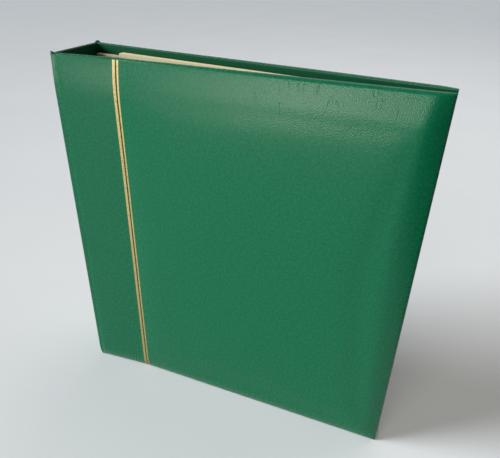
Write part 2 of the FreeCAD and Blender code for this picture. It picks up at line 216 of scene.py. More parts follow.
daylight = bpy.data.lights.new("daylight", "SUN")
daylight.energy = SUN_STRENGTH
daylight.color = COOL_WHITE
daylight.angle = SUN_WIDTH
sun = bpy.data.objects.new("daylight", daylight)
bpy.context.scene.collection.objects.link(sun)
sun.matrix_world = TO_THE_SUN.to_track_quat("Z", "Y").to_matrix().to_4x4()
print("lamps:", [light.name for light in bpy.data.lights])

# %% [markdown]
# ## Black cards
#
# Beside a glossy thing whose edge should stay dark, a photographer stands black cards. These two are
# to the right of the album, so that the rolled fore-edge doesn't mirror the pale room. They throw no
# shadow, and no camera sees them. The near one also keeps stray light off the fore-edge. The far one
# shows in reflections alone, so that light still reaches the leaves. Felt is the usual facing, because
# it shines from no side.

# %% Cards
CARD_X, CARD_TOP, FELT_NAP = 0.44, 0.42, 10 * MM
CARD_NEAR, CARD_MIDDLE, CARD_FAR = -0.75, -0.02, 0.6

black_felt, tree, _, nap = mottled_material("black_felt", "#141414", "#1E1E1E", size=FELT_NAP, detail=3.0)
finish_material(tree, Base_Color=nap, Roughness=1.0)
for name, start, end, shades in (
    ("near_card", CARD_NEAR, CARD_MIDDLE, True),
    ("far_card", CARD_MIDDLE, CARD_FAR, False),
):
    corners = [(CARD_X, start, 0), (CARD_X, end, 0), (CARD_X, end, CARD_TOP), (CARD_X, start, CARD_TOP)]
    card = stage_sheet(name, corners, black_felt)
    card.visible_camera = card.visible_shadow = False
    card.visible_diffuse = shades
    print(name, round(end - start, 2), "m wide")

# %% [markdown]
# ## The room
#
# The world stands for the rest of the room. As light it is dim and even. Where the camera or a
# reflection sees it directly, it is a pale wall that gets darker overhead, so metal and leatherette
# mirror the same room that the pictures show.

# %% World
ROOM_LIGHT, WALL_PALE, WALL_DARK = 0.15, 0.7, 0.2
WALL_LOW, WALL_HIGH = 0.15, 0.45

world = bpy.data.worlds.new("room")
bpy.context.scene.world = world
world.use_nodes = True
tree = world.node_tree
ray = add_node(tree, "ShaderNodeLightPath", {})
seen = ray.outputs["Is Camera Ray"]
for kind in ("Is Glossy Ray", "Is Transmission Ray"):
    seen = add_node(tree, "ShaderNodeMath", {0: seen, 1: ray.outputs[kind]}, operation="MAXIMUM").outputs[0]
towards = add_node(tree, "ShaderNodeTexCoord", {}).outputs["Generated"]
rising = add_node(tree, "ShaderNodeSeparateXYZ", {"Vector": towards}).outputs["Z"]
wall = {"From Min": WALL_LOW, "From Max": WALL_HIGH, "To Min": WALL_PALE, "To Max": WALL_DARK}
wall_light = add_node(tree, "ShaderNodeMapRange", {"Value": rising, **wall}).outputs[0]
strength = add_node(tree, "ShaderNodeMix", {0: seen, 2: ROOM_LIGHT, 3: wall_light}).outputs[0]
tree.nodes["Background"].inputs["Color"].default_value = linear("#DDE2E6")
tree.links.new(strength, tree.nodes["Background"].inputs["Strength"])
bpy.context.scene.view_settings.view_transform = "Standard"
print("world:", len(tree.nodes), "nodes")

# %% [markdown]
# ## The path round the cover
#
# One piece of leatherette goes from the back cover's fore-edge round the spine to the front cover's.
# Seen from above it follows a single line of straights and bends, so every piece of the cover is laid
# along one path. A curve object could hold that path. A table of headings, added up in small steps,
# is used instead, because a point at any distance in front of or behind the path is then one sum.

# %% The path
# The sizes of pieces are in millimetres, which the path turns into metres. Angles are in degrees.
HEIGHT = 309.5
SPINE_WIDTH, SPINE_FACE, CORNER_RADIUS = 56.0, -1.7, 2.2
STRIP_WIDTH, PANEL_WIDTH, BACK_WIDTH = 57.0, 233.0, 290.0
STRIP_ANGLE, PANEL_ANGLE, BACK_ANGLE = 7.7, 3.3, 4.0
FOLD_SOFT = 4.0
PATH_SPARE = 9.0
PATH_STEP = 0.02


def walk(distances, headings, start):
    """Lays out a line whose heading, in degrees, changes evenly between the distances given.

    The line is the sum of short steps along the heading, and passes through start at distance 0.
    The function returned puts (along, out, up) in millimetres into the album's frame in metres: the
    line's point at that distance, moved out at right angles to the way, on its right, and lifted.
    """
    ways = np.arange(distances[0], distances[-1] + PATH_STEP, PATH_STEP)
    turns = np.radians(np.interp(ways[:-1] + PATH_STEP / 2, distances, headings))
    line = np.zeros((2, len(ways)))
    line[:, 1:] = PATH_STEP * np.cumsum([np.cos(turns), np.sin(turns)], axis=1)
    line += np.array([[at - np.interp(0, ways, row)] for at, row in zip(start, line)])

    def place(along, out, up):
        turn = np.radians(np.interp(along, distances, headings))
        x = np.interp(along, ways, line[0]) + out * np.sin(turn)
        y = np.interp(along, ways, line[1]) - out * np.cos(turn)
        return MM * np.stack(np.broadcast_arrays(x, y, up), axis=-1)

    return place


def tangent(lean):
    """How far before a spine corner its bend starts, for a cover that leans in by that angle.

    It is the radius divided by the tangent of half the angle between the spine and the cover.
    """
    return CORNER_RADIUS / np.tan(np.radians(90 - lean) / 2)


print("path: laid out in steps of", PATH_STEP, "mm")

# %% The cover's stations along the path
FRONT_BEND, BACK_BEND = CORNER_RADIUS * np.radians([90 + STRIP_ANGLE, 90 + BACK_ANGLE])
SPINE_FRONT = SPINE_WIDTH / 2 - tangent(STRIP_ANGLE)
SPINE_BACK = tangent(BACK_ANGLE) - SPINE_WIDTH / 2
STRIP_ZERO = SPINE_FRONT + FRONT_BEND - tangent(STRIP_ANGLE)
BACK_ZERO = SPINE_BACK - BACK_BEND + tangent(BACK_ANGLE)
FOLD = STRIP_ZERO + STRIP_WIDTH
FRONT_EDGE = FOLD + PANEL_WIDTH
BACK_EDGE = BACK_ZERO - BACK_WIDTH
cover_turns = {
    BACK_EDGE - PATH_SPARE: -180 - BACK_ANGLE,
    SPINE_BACK - BACK_BEND: -180 - BACK_ANGLE,
    SPINE_BACK: -90,
    SPINE_FRONT: -90,
    SPINE_FRONT + FRONT_BEND: STRIP_ANGLE,
    FOLD - FOLD_SOFT: STRIP_ANGLE,
    FOLD + FOLD_SOFT: PANEL_ANGLE,
    FRONT_EDGE + PATH_SPARE: PANEL_ANGLE,
}
on_cover = walk(list(cover_turns), list(cover_turns.values()), (SPINE_FACE, 0))
print("path:", round(FRONT_EDGE - BACK_EDGE, 1), "mm of leatherette from edge to edge")

# %% [markdown]
# ## A closed shell
#
# Covers, linings, leaves and gold lines are all flat pieces with two faces and a rim. Extruding a
# plane and bevelling it would do for a flat one. The covers are crowned, so each piece is a net of
# points for its outer face and one for its inner face, and the two nets meet all round at the rim.

# %% Nets
RIM_SQUARE = 3.5
RIM_STEPS = 9


def net_line(start, end, rim, step, *extra):
    """Places from start to end, about a step apart, with the extra ones, and closer round the two rims.

    There they are rim * (1 - cos(t) ** (2 / n)) from the end, for even steps of t up to a right angle,
    which puts them evenly round the curve of rim_share. Places that agree to four decimals are one.
    """
    turn = np.linspace(0, np.pi / 2, RIM_STEPS)
    round_rim = rim * (1 - np.cos(turn) ** (2 / RIM_SQUARE))
    inner = np.linspace(start + rim, end - rim, max(2, int((end - start) / step)))
    return np.unique(np.concatenate([start + round_rim, inner, *extra, end - round_rim]).round(4))


def rim_share(line, rim):
    """The share of the full thickness at each place, d from the end: (1 - (1 - d / rim) ** n) ** (1 / n)."""
    depth = np.minimum(line - line[0], line[-1] - line) / rim
    return (1 - (1 - np.clip(depth, 0, 1)) ** RIM_SQUARE) ** (1 / RIM_SQUARE)


def net_faces(shape):
    """The numbers of the four corners of each face, in a net of so many rows and columns of points."""
    number = np.arange(shape[0] * shape[1]).reshape(shape)
    corners = [number[:-1, :-1], number[:-1, 1:], number[1:, 1:], number[1:, :-1]]
    return np.stack(corners, axis=-1).reshape(-1, 4)


print("nets:", RIM_STEPS, "rows of points round each rim")

# %% Shells
SAME_PLACE = 0.0001


def shell(name, place, along, up, outside, inside, rim, lift=0):
    """A closed piece between two faces over one net, given as offsets out from its path.

    Both faces close in on the middle between them by the smaller rim_share of the two ways, so they
    meet at the rim, where their points are merged. Its UV map is the flat pattern in metres, and the
    attribute "rim" is 0 on the faces and 1 at the rim. lift raises each point by so much.
    """
    share = np.minimum(rim_share(up, rim)[:, None], rim_share(along, rim))
    outside, inside, _ = np.broadcast_arrays(outside, inside, share)
    middle, half = (outside + inside) / 2, (outside - inside) / 2 * share
    heights = np.broadcast_to(up[:, None] + lift, share.shape)
    points = np.stack([place(along, middle + half, heights), place(along, middle - half, heights)])
    quads = net_faces(share.shape)
    quads = np.concatenate([quads, quads[:, ::-1] + share.size])

    mesh = bpy.data.meshes.new(name)
    mesh.from_pydata(points.reshape(-1, 3), [], quads)
    pattern = np.tile(MM * np.stack(np.broadcast_arrays(along, heights), axis=-1).reshape(-1, 2), (2, 1))
    corner_places = pattern[quads.ravel()].astype(np.float32).ravel()
    mesh.uv_layers.new(name="UVMap").uv.foreach_set("vector", corner_places)
    rim_values = np.tile(1 - share.ravel(), 2).astype(np.float32)
    mesh.attributes.new("rim", "FLOAT", "POINT").data.foreach_set("value", rim_values)
    mesh.polygons.foreach_set("use_smooth", np.ones(len(quads), bool))
    joined = bmesh.new()
    joined.from_mesh(mesh)
    bmesh.ops.remove_doubles(joined, verts=joined.verts, dist=SAME_PLACE * MM)
    joined.to_mesh(mesh)
    joined.free()
    piece = bpy.data.objects.new(name, mesh)
    bpy.context.scene.collection.objects.link(piece)
    print(name, len(mesh.polygons), "faces")
    return piece


def dress(piece, material):
    """Gives a piece its material."""
    piece.data.materials.clear()
    piece.data.materials.append(material)


print("shells: points within", SAME_PLACE, "mm are merged")

# %% [markdown]
# ## Green leatherette
#
# The covering is a fabric coated with green PVC, embossed with a fine grain and rolled to a satin
# finish. It gives a deep green with a soft grey sheen and faint flecks, a little paler where the rims
# are worn. All patterns read the UV map, which is the flat covering in metres, so that they stay on
# the leatherette when the album opens.

# %% Leatherette: colour
# The real flecks are under 1 mm; they are drawn coarser, so that they show in a small picture.
FLECK = 2.2 * MM

leatherette, tree = new_material("green_leatherette")
flat = add_node(tree, "ShaderNodeUVMap", {}, uv_map="UVMap").outputs[0]
settings = {"Vector": flat, "Scale": 1 / FLECK, "Detail": 3.0}
flecks = add_node(tree, "ShaderNodeTexNoise", settings, noise_dimensions="2D").outputs[0]
contrast = {"Value": flecks, "From Min": 0.35, "From Max": 0.65}
fleck = add_node(tree, "ShaderNodeMapRange", contrast).outputs[0]
colours = {0: fleck, 6: linear("#015837"), 7: linear("#085D3E")}
green = add_node(tree, "ShaderNodeMix", colours, data_type="RGBA").outputs[2]
rim = add_node(tree, "ShaderNodeAttribute", {}, attribute_name="rim").outputs["Fac"]
rubbed = add_node(tree, "ShaderNodeMath", {0: rim, 1: flecks}, operation="MULTIPLY").outputs[0]
colours = {0: rubbed, 6: green, 7: linear("#2A7A56")}
green = add_node(tree, "ShaderNodeMix", colours, data_type="RGBA").outputs[2]
print("flecks:", FLECK / MM, "mm")

# %% [markdown]
# ## Creases
#
# At the head of the front cover the coating has creased, where the padding was pressed in. Such lines
# could be painted by hand on a picture. Here they are the level lines of a noise, as on a map: thin,
# wandering, and never crossing each other. The noise is four times as tall as it is wide, so that the
# lines run down from the head, and a second noise breaks them up. The lines are cut into the relief
# and painted a darker green, as painted shade in the creases.

# %% Leatherette: creases
CREASE_WAVE, CREASE_GAP, CREASE_WIDTH = 14 * MM, 12 * MM, 0.02
CREASE_STRETCH = (1.0, 0.25, 1.0)
# The creases fade in along the cover, up to its head, and with the second noise.
ALONG_FADE, HEAD_FADE, GAP_FADE = (150 * MM, 200 * MM), (275 * MM, 297 * MM), (0.46, 0.58)


def limited(tree, lines, value, start, full):
    """The lines, times a share that rises from 0 to 1 while the value goes from start to full."""
    rise = {"Value": value, "From Min": start, "From Max": full}
    share = add_node(tree, "ShaderNodeMapRange", rise).outputs[0]
    return add_node(tree, "ShaderNodeMath", {0: lines, 1: share}, operation="MULTIPLY").outputs[0]


drawn_out = add_node(tree, "ShaderNodeMapping", {"Vector": flat, "Scale": CREASE_STRETCH}).outputs[0]
settings = {"Vector": drawn_out, "Scale": 1 / CREASE_WAVE, "Detail": 4.0}
furrows = add_node(tree, "ShaderNodeTexNoise", settings, noise_dimensions="2D").outputs[0]
above = add_node(tree, "ShaderNodeMath", {0: furrows, 1: 0.5}, operation="SUBTRACT").outputs[0]
beside = add_node(tree, "ShaderNodeMath", {0: above}, operation="ABSOLUTE").outputs[0]
fall = {"Value": beside, "From Max": CREASE_WIDTH, "To Min": 1.0, "To Max": 0.0}
creases = add_node(tree, "ShaderNodeMapRange", fall).outputs[0]
settings = {"Vector": flat, "Scale": 1 / CREASE_GAP, "Detail": 3.0}
gaps = add_node(tree, "ShaderNodeTexNoise", settings, noise_dimensions="2D").outputs[0]
pattern_place = add_node(tree, "ShaderNodeSeparateXYZ", {"Vector": flat})
creases = limited(tree, creases, pattern_place.outputs["X"], *ALONG_FADE)
creases = limited(tree, creases, pattern_place.outputs["Y"], *HEAD_FADE)
creases = limited(tree, creases, gaps, *GAP_FADE)
# The crease lines are painted a darker green: painted shade in the creases.
colours = {0: creases, 6: green, 7: linear("#07522F")}
green = add_node(tree, "ShaderNodeMix", colours, data_type="RGBA").outputs[2]
print("creases: about", CREASE_WAVE / MM, "mm apart")

# %% [markdown]
# ## Grain and gloss
#
# The embossed grain is a relief of small round cells, which a bump of Voronoi distances gives, with
# the creases cut into it. Rolled PVC has an index of about 1.5. This one is worn and mirrors less, so
# a lower index matches it, and its gloss changes a little from fleck to fleck.

# %% Leatherette: grain and gloss
# The real grain is about 0.6 mm; it is drawn coarser, so that it shows in a small picture.
GRAIN, CREASE_DEPTH = 0.8 * MM, 1.3

settings = {"Vector": flat, "Scale": 1 / GRAIN}
grain = add_node(tree, "ShaderNodeTexVoronoi", settings, voronoi_dimensions="2D").outputs["Distance"]
depth = {0: creases, 1: -CREASE_DEPTH, 2: grain}
relief = add_node(tree, "ShaderNodeMath", depth, operation="MULTIPLY_ADD").outputs[0]
raised = {"Height": relief, "Strength": 0.2, "Distance": 0.4 * MM}
bump = add_node(tree, "ShaderNodeBump", raised).outputs[0]
gloss = add_node(tree, "ShaderNodeMapRange", {"Value": flecks, "To Min": 0.22, "To Max": 0.32}).outputs[0]
finish_material(tree, Base_Color=green, Roughness=gloss, Normal=bump, IOR=1.33)
print("leatherette:", len(tree.nodes), "nodes, grain", GRAIN / MM, "mm")

# %% [markdown]
# ## The padding
#
# Foam under the leatherette rolls over at every edge and swells in the middle, as a cushion does. The
# rolls are a formula. The swelling is a cloth simulation: a coarse net with the rolls' shape is held
# along its rim and blown up from below, no further than the foam goes.

# %% The padding's rolls
SKIN_INSIDE = 3.95
RIM = SKIN_INSIDE / 2
COVER_GAP = 2.5
CROWN, SWELL, FULLER = 3.4, 1.3, 2.6
# The foam gets fuller from one share of the width on, over another. Each roll has a width, and a
# power that says how steeply it starts.
FULLER_FROM, FULLER_OVER, FULLER_POWER = 0.2, 0.6, 2
TAIL_ROLL, TAIL_POWER, SPINE_ROLL, SPINE_POWER = 14, 2.2, 3, 2
HEAD_ROLL_FOLD, HEAD_ROLL_FORE, HEAD_FULL = 30, 20, 0.5
HEAD_POWER_FOLD, HEAD_POWER_FORE = 2.0, 1.2
FORE_ROLL_ENDS, FORE_ROLL_MIDDLE, FORE_ROLL_SKEW, FORE_POWER = 12, 21.5, 1.5, 1.65
# Each wave of the foam: its height, how far it takes along and up per radian, and where it starts.
FOAM_WAVES = ((0.08, 31, 47, 0.0), (0.06, 19, -26, 1.3), (0.05, 60, 15, 0.4))


def between(low, high, share):
    """The value at that share of the way from low to high."""
    return low + (high - low) * share


def roll(distance, width, power):
    """The share of the crown at a distance from an edge: 1 - (1 - d / w) ** power, and 1 past w."""
    return 1 - (1 - np.clip(distance / width, 0, 1)) ** power


def uneven(along, up):
    """Foam is never quite even: the sum of three slow sine waves over the face, each under 0.1 mm."""
    return sum(
        height * np.sin(along / across + up / rising + start)
        for height, across, rising, start in FOAM_WAVES
    )


print("foam: uneven by up to", round(sum(height for height, *_ in FOAM_WAVES), 2), "mm")

# %% The padding's shape
def head_and_tail(up, full):
    """The share of the crown at each height: a roll at the tail times one at the head.

    full is 0 beside the spine and 1 on the fuller side, where the foam keeps half of its thickness up
    to the head and rolls over it more tightly.
    """
    width = between(HEAD_ROLL_FOLD, HEAD_ROLL_FORE, full)
    power = between(HEAD_POWER_FOLD, HEAD_POWER_FORE, full)
    head = between(HEAD_FULL * full, 1, roll(HEIGHT - up, width, power))
    return roll(up, TAIL_ROLL, TAIL_POWER) * head


def padding(along, up, near, far):
    """The rolled padding over a net: the crown times the rolls at the spine end, fore-edge, tail and head.

    Away from the spine and up towards the head the foam is thicker, by up to FULLER. The roll at the
    fore-edge is widest above the middle, by sin(pi h ** FORE_ROLL_SKEW), with h the share of the height.
    """
    up = up[:, None]
    full = roll((along - near) / (far - near) - FULLER_FROM, FULLER_OVER, FULLER_POWER)
    widest = np.sin(np.pi * (up / HEIGHT) ** FORE_ROLL_SKEW)
    fore_roll = between(FORE_ROLL_ENDS, FORE_ROLL_MIDDLE, widest)
    at_spine = roll(np.abs(along - near), SPINE_ROLL, SPINE_POWER)
    at_fore = roll(np.abs(far - along), fore_roll, FORE_POWER)
    crown = CROWN + FULLER * full * up / HEIGHT + uneven(along, up)
    return crown * (at_spine * at_fore) * head_and_tail(up, full)


print("padding: crown", CROWN, "mm, and", CROWN + FULLER, "mm where it is fullest")

# %% The padding's swelling
PRESSURE, MOMENTS = 4.0, 20
NET_COLUMNS, NET_ROWS = 49, 53
net_up = np.linspace(0, HEIGHT, NET_ROWS)


def blown_up(along, near, far, held_to):
    """How far a cloth net over the rolled padding rises under pressure.

    It is held along its rim, and from its start up to the place held_to. Foam carries it, so no point
    sinks; the rise r is capped softly at SWELL * tanh(r / SWELL).
    """
    start = padding(along, net_up, near, far)
    held = (net_up[:, None] % HEIGHT == 0) | (along <= held_to) | (along == along[-1])
    points = MM * np.stack([*np.meshgrid(along, net_up), start], axis=-1)
    mesh = bpy.data.meshes.new("net")
    mesh.from_pydata(points.reshape(-1, 3), [], net_faces(start.shape))
    net = bpy.data.objects.new("net", mesh)
    bpy.context.scene.collection.objects.link(net)
    net.vertex_groups.new(name="held").add(np.flatnonzero(held).tolist(), 1.0, "REPLACE")
    cloth = net.modifiers.new("cloth", "CLOTH").settings
    cloth.vertex_group_mass = "held"
    cloth.use_pressure = True
    cloth.uniform_pressure_force = PRESSURE
    cloth.effector_weights.gravity = 0.0
    for moment in range(1, MOMENTS + 1):
        bpy.context.scene.frame_set(moment)
    moved = np.zeros(3 * start.size)
    net.evaluated_get(bpy.context.evaluated_depsgraph_get()).data.vertices.foreach_get("co", moved)
    bpy.context.scene.frame_set(1)
    bpy.data.objects.remove(net)
    rise = np.maximum(moved[2::3].reshape(start.shape) / MM - start, 0)
    print("cloth: rises by", round(rise.max(), 2), "mm at most")
    return SWELL * np.tanh(rise / SWELL)


print("cloth net:", NET_COLUMNS, "by", NET_ROWS, "points")

# %% From the coarse net to a finer one
def spline_weights(places, knots):
    """The share of each evenly spaced knot in a smooth curve at each place, by the cubic B-spline.

    With g the gap in knots, it is 2 / 3 - g ** 2 + g ** 3 / 2 below 1, and (2 - g) ** 3 / 6 up to 2.
    """
    gap = np.abs((places[:, None] - knots) / (knots[1] - knots[0]))
    near = 2 / 3 - gap ** 2 + gap ** 3 / 2
    far = np.clip(2 - gap, 0, None) ** 3 / 6
    return np.where(gap < 1, near, far)


def spread(swell, net_along, along, up):
    """The swelling of a coarse net at the places of a finer one: its points by their weights both ways."""
    return spline_weights(up, net_up) @ swell @ spline_weights(along, net_along).T


print("weights halfway between two knots:", spline_weights(np.array([1.5]), np.arange(4)).round(3)[0])

# %% [markdown]
# ## The front cover
#
# The front cover is a hinge strip and a panel under one padded skin, with a fold between them. The
# simulated net is held over the whole strip, because the strip is narrow and hardly swells.

# %% Front cover
FRONT_NEAR = STRIP_ZERO + COVER_GAP
COVER_STEP = 3.0
FOLD_HALF, GROOVE_DEPTH, GROOVE_HALF, GROOVE_END = 0.5, 0.5, 0.5, 13
front_net = np.linspace(FRONT_NEAR, FRONT_EDGE, NET_COLUMNS)
front_swell = blown_up(front_net, FRONT_NEAR, FRONT_EDGE, FOLD + FOLD_SOFT)
fold_ends = [on_cover(FOLD + side * FOLD_HALF, 0, 0).tolist() for side in (-1, 1)]


def front_face(along, up):
    """How far the front's skin stands out over a net: its rolls and swelling, less the fold's groove.

    The groove is GROOVE_DEPTH * exp(-(d / GROOVE_HALF) ** 2) at a distance d from the fold, and it runs
    out over the last GROOVE_END millimetres at the head and the tail.
    """
    swell = spread(front_swell, front_net, along, up)
    groove = GROOVE_DEPTH * np.exp(-((along - FOLD) / GROOVE_HALF) ** 2)
    open_groove = roll(np.minimum(up, HEIGHT - up)[:, None], GROOVE_END, TAIL_POWER)
    return padding(along, up, FRONT_NEAR, FRONT_EDGE) + swell - groove * open_groove


groove_places = FOLD + np.linspace(-1, 1, 17)
front_along = net_line(FRONT_NEAR, FRONT_EDGE, RIM, COVER_STEP, groove_places)
cover_up = net_line(0, HEIGHT, RIM, COVER_STEP)
front_out = front_face(front_along, cover_up)
front_skin = shell("front_cover_skin", on_cover, front_along, cover_up, front_out, -SKIN_INSIDE, RIM)
dress(front_skin, leatherette)
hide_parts("strip_skin", "strip_pad", "front_skin", "front_pad", "fold_joint")
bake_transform(front_skin)

# %% [markdown]
# ## The back cover and the spine
#
# The back cover is padded like the front, in one panel. The spine is a plain covered board, so its
# skin is a shell between two flat faces.

# %% Back cover and spine
SPINE_INSIDE, SPINE_SHORT = 3.05, 1.8
BACK_NEAR = BACK_ZERO - COVER_GAP
back_net = np.linspace(BACK_EDGE, BACK_NEAR, NET_COLUMNS)
back_swell = blown_up(back_net, BACK_NEAR, BACK_EDGE, BACK_EDGE)
back_along = net_line(BACK_EDGE, BACK_NEAR, RIM, COVER_STEP)
back_out = padding(back_along, cover_up, BACK_NEAR, BACK_EDGE)
back_out += spread(back_swell, back_net, back_along, cover_up)
back_skin = shell("back_cover_skin", on_cover, back_along, cover_up, back_out, -SKIN_INSIDE, RIM)
dress(back_skin, leatherette)
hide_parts("back_skin", "back_pad")
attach(back_skin, "back_cover")

spine_rim = SPINE_INSIDE / 2
spine_along = net_line(SPINE_BACK + SPINE_SHORT, SPINE_FRONT - SPINE_SHORT, spine_rim, COVER_STEP)
spine_up = net_line(0, HEIGHT, spine_rim, COVER_STEP)
spine_skin = shell("spine_skin_panel", on_cover, spine_along, spine_up, 0, -SPINE_INSIDE, spine_rim)
dress(spine_skin, leatherette)
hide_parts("spine_skin")
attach(spine_skin, "spine")

# %% [markdown]
# ## The spine's corners
#
# At its two corners the leatherette bends round on its own, as the album's hinges, and stands a
# little proud at the head, where it is turned in over a cord. Each corner is a piece of its own that
# laps over the spine and under the cover's padding.

# %% Corners
CORNER_WALL, CORNER_SHORT = 2.0, 0.4
CORNER_STEP, CORNER_STEP_UP, BEND_POINTS = 0.8, 6.0, 15
RIDGE_HALF, RIDGE_LIFT, RIDGE_OUT, RIDGE_STEEP = 4.4, 1.7, 0.6, 30
LAP_SPINE, LAP_COVER, LAP_CROWN, LAP_UNDER = 4.5, 4.0, 0.98, 0.03


def corner(name, node, bend_start, bend_end, cover_after):
    """The leatherette round one spine corner, between the two ends of its bend and past them.

    Towards the cover it swings out to just under the padding: CROWN s ** 2, with s the share of the
    bend, times head_and_tail. A ridge of cos ** 2 across the bend lifts its head by RIDGE_LIFT, less
    and less down to half its height, and pushes the last millimetres of both ends out by RIDGE_OUT.
    """
    head, wall_rim = HEIGHT - CORNER_SHORT, CORNER_WALL / 2
    laps = (LAP_SPINE, LAP_COVER) if cover_after else (LAP_COVER, LAP_SPINE)
    bend = np.linspace(bend_start, bend_end, BEND_POINTS)
    along = net_line(bend_start - laps[0], bend_end + laps[1], wall_rim, CORNER_STEP, bend)
    up = net_line(0, head, wall_rim, CORNER_STEP_UP)
    high = up[:, None] / head
    ridge = np.cos(np.clip((along - (bend_start + bend_end) / 2) / RIDGE_HALF, -1, 1) * np.pi / 2) ** 2
    lift = RIDGE_LIFT * ridge * np.clip(2 * high - 1, 0, 1)
    swing = np.clip((along - bend_start) / (bend_end - bend_start), 0, 1)
    to_cover = swing if cover_after else 1 - swing
    swung = LAP_CROWN * CROWN * to_cover ** 2 * head_and_tail(up, 0)[:, None]
    ends = high ** RIDGE_STEEP + (1 - high) ** RIDGE_STEEP
    out = swung + RIDGE_OUT * ridge * ends - LAP_UNDER
    piece = shell(name, on_cover, along, up, out, out - CORNER_WALL, wall_rim, lift)
    dress(piece, leatherette)
    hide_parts(node)
    [on_cover(at, 0, 0).tolist() for at in (bend_start, bend_end)]
    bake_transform(piece)


corner("front_corner_skin", "front_spine_joint", SPINE_FRONT, SPINE_FRONT + FRONT_BEND, True)
corner("back_corner_skin", "back_spine_joint", SPINE_BACK - BACK_BEND, SPINE_BACK, False)

# %% [markdown]
# ## Gold foil
#
# The two lines beside the fold are stamped in gold foil: a film of metal so thin that it takes on
# the leatherette's grain and wears through in specks. Metal shows only what it reflects, so the
# foil is a rough metal, and the wear is a fine noise that lets dull patches through.

# %% Gold foil
SPECK = 1.5 * MM

gold_foil, tree = new_material("gold_foil")
flat = add_node(tree, "ShaderNodeUVMap", {}, uv_map="UVMap").outputs[0]
settings = {"Vector": flat, "Scale": 1 / SPECK, "Detail": 3.0}
specks = add_node(tree, "ShaderNodeTexNoise", settings, noise_dimensions="2D").outputs[0]
wear = {"Value": specks, "From Min": 0.5, "From Max": 0.75, "To Max": 0.7}
dull = add_node(tree, "ShaderNodeMapRange", wear).outputs[0]
colours = {0: dull, 6: linear("#B4A171"), 7: linear("#7B6D47")}
gold = add_node(tree, "ShaderNodeMix", colours, data_type="RGBA").outputs[2]
polish = add_node(tree, "ShaderNodeMapRange", {"Value": specks, "To Min": 0.55, "To Max": 0.75}).outputs[0]
bump = add_node(tree, "ShaderNodeBump", {"Height": specks, "Strength": 0.3, "Distance": 0.2 * MM}).outputs[0]
finish_material(tree, Base_Color=gold, Metallic=1.0, Roughness=polish, Normal=bump)
print("gold foil: specks", SPECK / MM, "mm")

# %% Gold lines
GOLD_WIDE, GOLD_NARROW, GOLD_GAP, FOIL = 2.4, 1.5, 1.3, 0.1
GOLD_FOOT, GOLD_HEAD, GOLD_STEP, GOLD_STEP_UP = 0.9, 1.0, 0.5, 2.0

line_up = net_line(GOLD_FOOT, HEIGHT - GOLD_HEAD, FOIL / 2, GOLD_STEP_UP)
for name, start, width, body in (
    ("gold_line_wide", FOLD - GOLD_GAP / 2 - GOLD_WIDE, GOLD_WIDE, "front_strip"),
    ("gold_line_narrow", FOLD + GOLD_GAP / 2, GOLD_NARROW, "front_panel"),
):
    line_along = net_line(start, start + width, FOIL / 2, GOLD_STEP)
    face = front_face(line_along, line_up)
    line = shell(name + "_foil", on_cover, line_along, line_up, face + FOIL / 2, face - FOIL / 2, FOIL / 2)
    dress(line, gold_foil)
    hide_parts(name)
    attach(line, body)

# %% [markdown]
# ## Lining paper
#
# Inside, each cover has a lining of card faced with dark green coated paper. Its cut edge shows the
# card, as a thin dull line along the head of the front cover. The paper is embossed like linen, which
# a fine noise as a bump gives at this size. Coated paper has an index of about 1.5; this one is
# rubbed dull, so it has a lower one.

# %% Lining paper
# The embossed threads are about 0.5 mm; they are drawn coarser, so that they show.
EMBOSSED, CLOUD = 1.2 * MM, 30 * MM

lining_paper, tree = new_material("green_lining_paper")
flat = add_node(tree, "ShaderNodeUVMap", {}, uv_map="UVMap").outputs[0]
settings = {"Vector": flat, "Scale": 1 / EMBOSSED, "Detail": 2.0}
threads = add_node(tree, "ShaderNodeTexNoise", settings, noise_dimensions="2D").outputs[0]
settings = {"Vector": flat, "Scale": 1 / CLOUD, "Detail": 3.0}
clouds = add_node(tree, "ShaderNodeTexNoise", settings, noise_dimensions="2D").outputs[0]
colours = {0: clouds, 6: linear("#07412A"), 7: linear("#0C4F30")}
green = add_node(tree, "ShaderNodeMix", colours, data_type="RGBA").outputs[2]
rim = add_node(tree, "ShaderNodeAttribute", {}, attribute_name="rim").outputs["Fac"]
cut_edge = add_node(tree, "ShaderNodeMapRange", {"Value": rim, "From Min": 0.1, "From Max": 0.3}).outputs[0]
colours = {0: cut_edge, 6: green, 7: linear("#6E6A52")}
green = add_node(tree, "ShaderNodeMix", colours, data_type="RGBA").outputs[2]
raised = {"Height": threads, "Strength": 0.3, "Distance": 0.2 * MM}
bump = add_node(tree, "ShaderNodeBump", raised).outputs[0]
finish_material(tree, Base_Color=green, Roughness=0.38, Normal=bump, IOR=1.25)
print("lining paper: threads", EMBOSSED / MM, "mm")

# %% [markdown]
# ## The linings
#
# Each lining is a thin shell along the same path, inside the covers. The front one crosses the fold.
# The one on the spine is a little shorter than the space for it.

# %% Linings of the covers and the spine
LINING_FACE, LINING_BACK = 4.0, 3.5
LINING_RIM, LINING_INSET, LINING_STEP = 0.2, 0.5, 6.0
LINING_FROM_SPINE, LINING_FROM_EDGE = 4.6, 1.8
SPINE_LINING_BACK, SPINE_LINING_FACE, SPINE_LINING_SHORT = 3.0, 3.4, 2.2
lining_up = net_line(LINING_INSET, HEIGHT - LINING_INSET, LINING_RIM, LINING_STEP)


def lining(name, start, end, back, face, *extra):
    """A lining from start to end along the cover, between two depths inside the path."""
    along = net_line(start, end, LINING_RIM, LINING_STEP, *extra)
    piece = shell(name, on_cover, along, lining_up, -back, -face, LINING_RIM)
    dress(piece, lining_paper)
    return piece


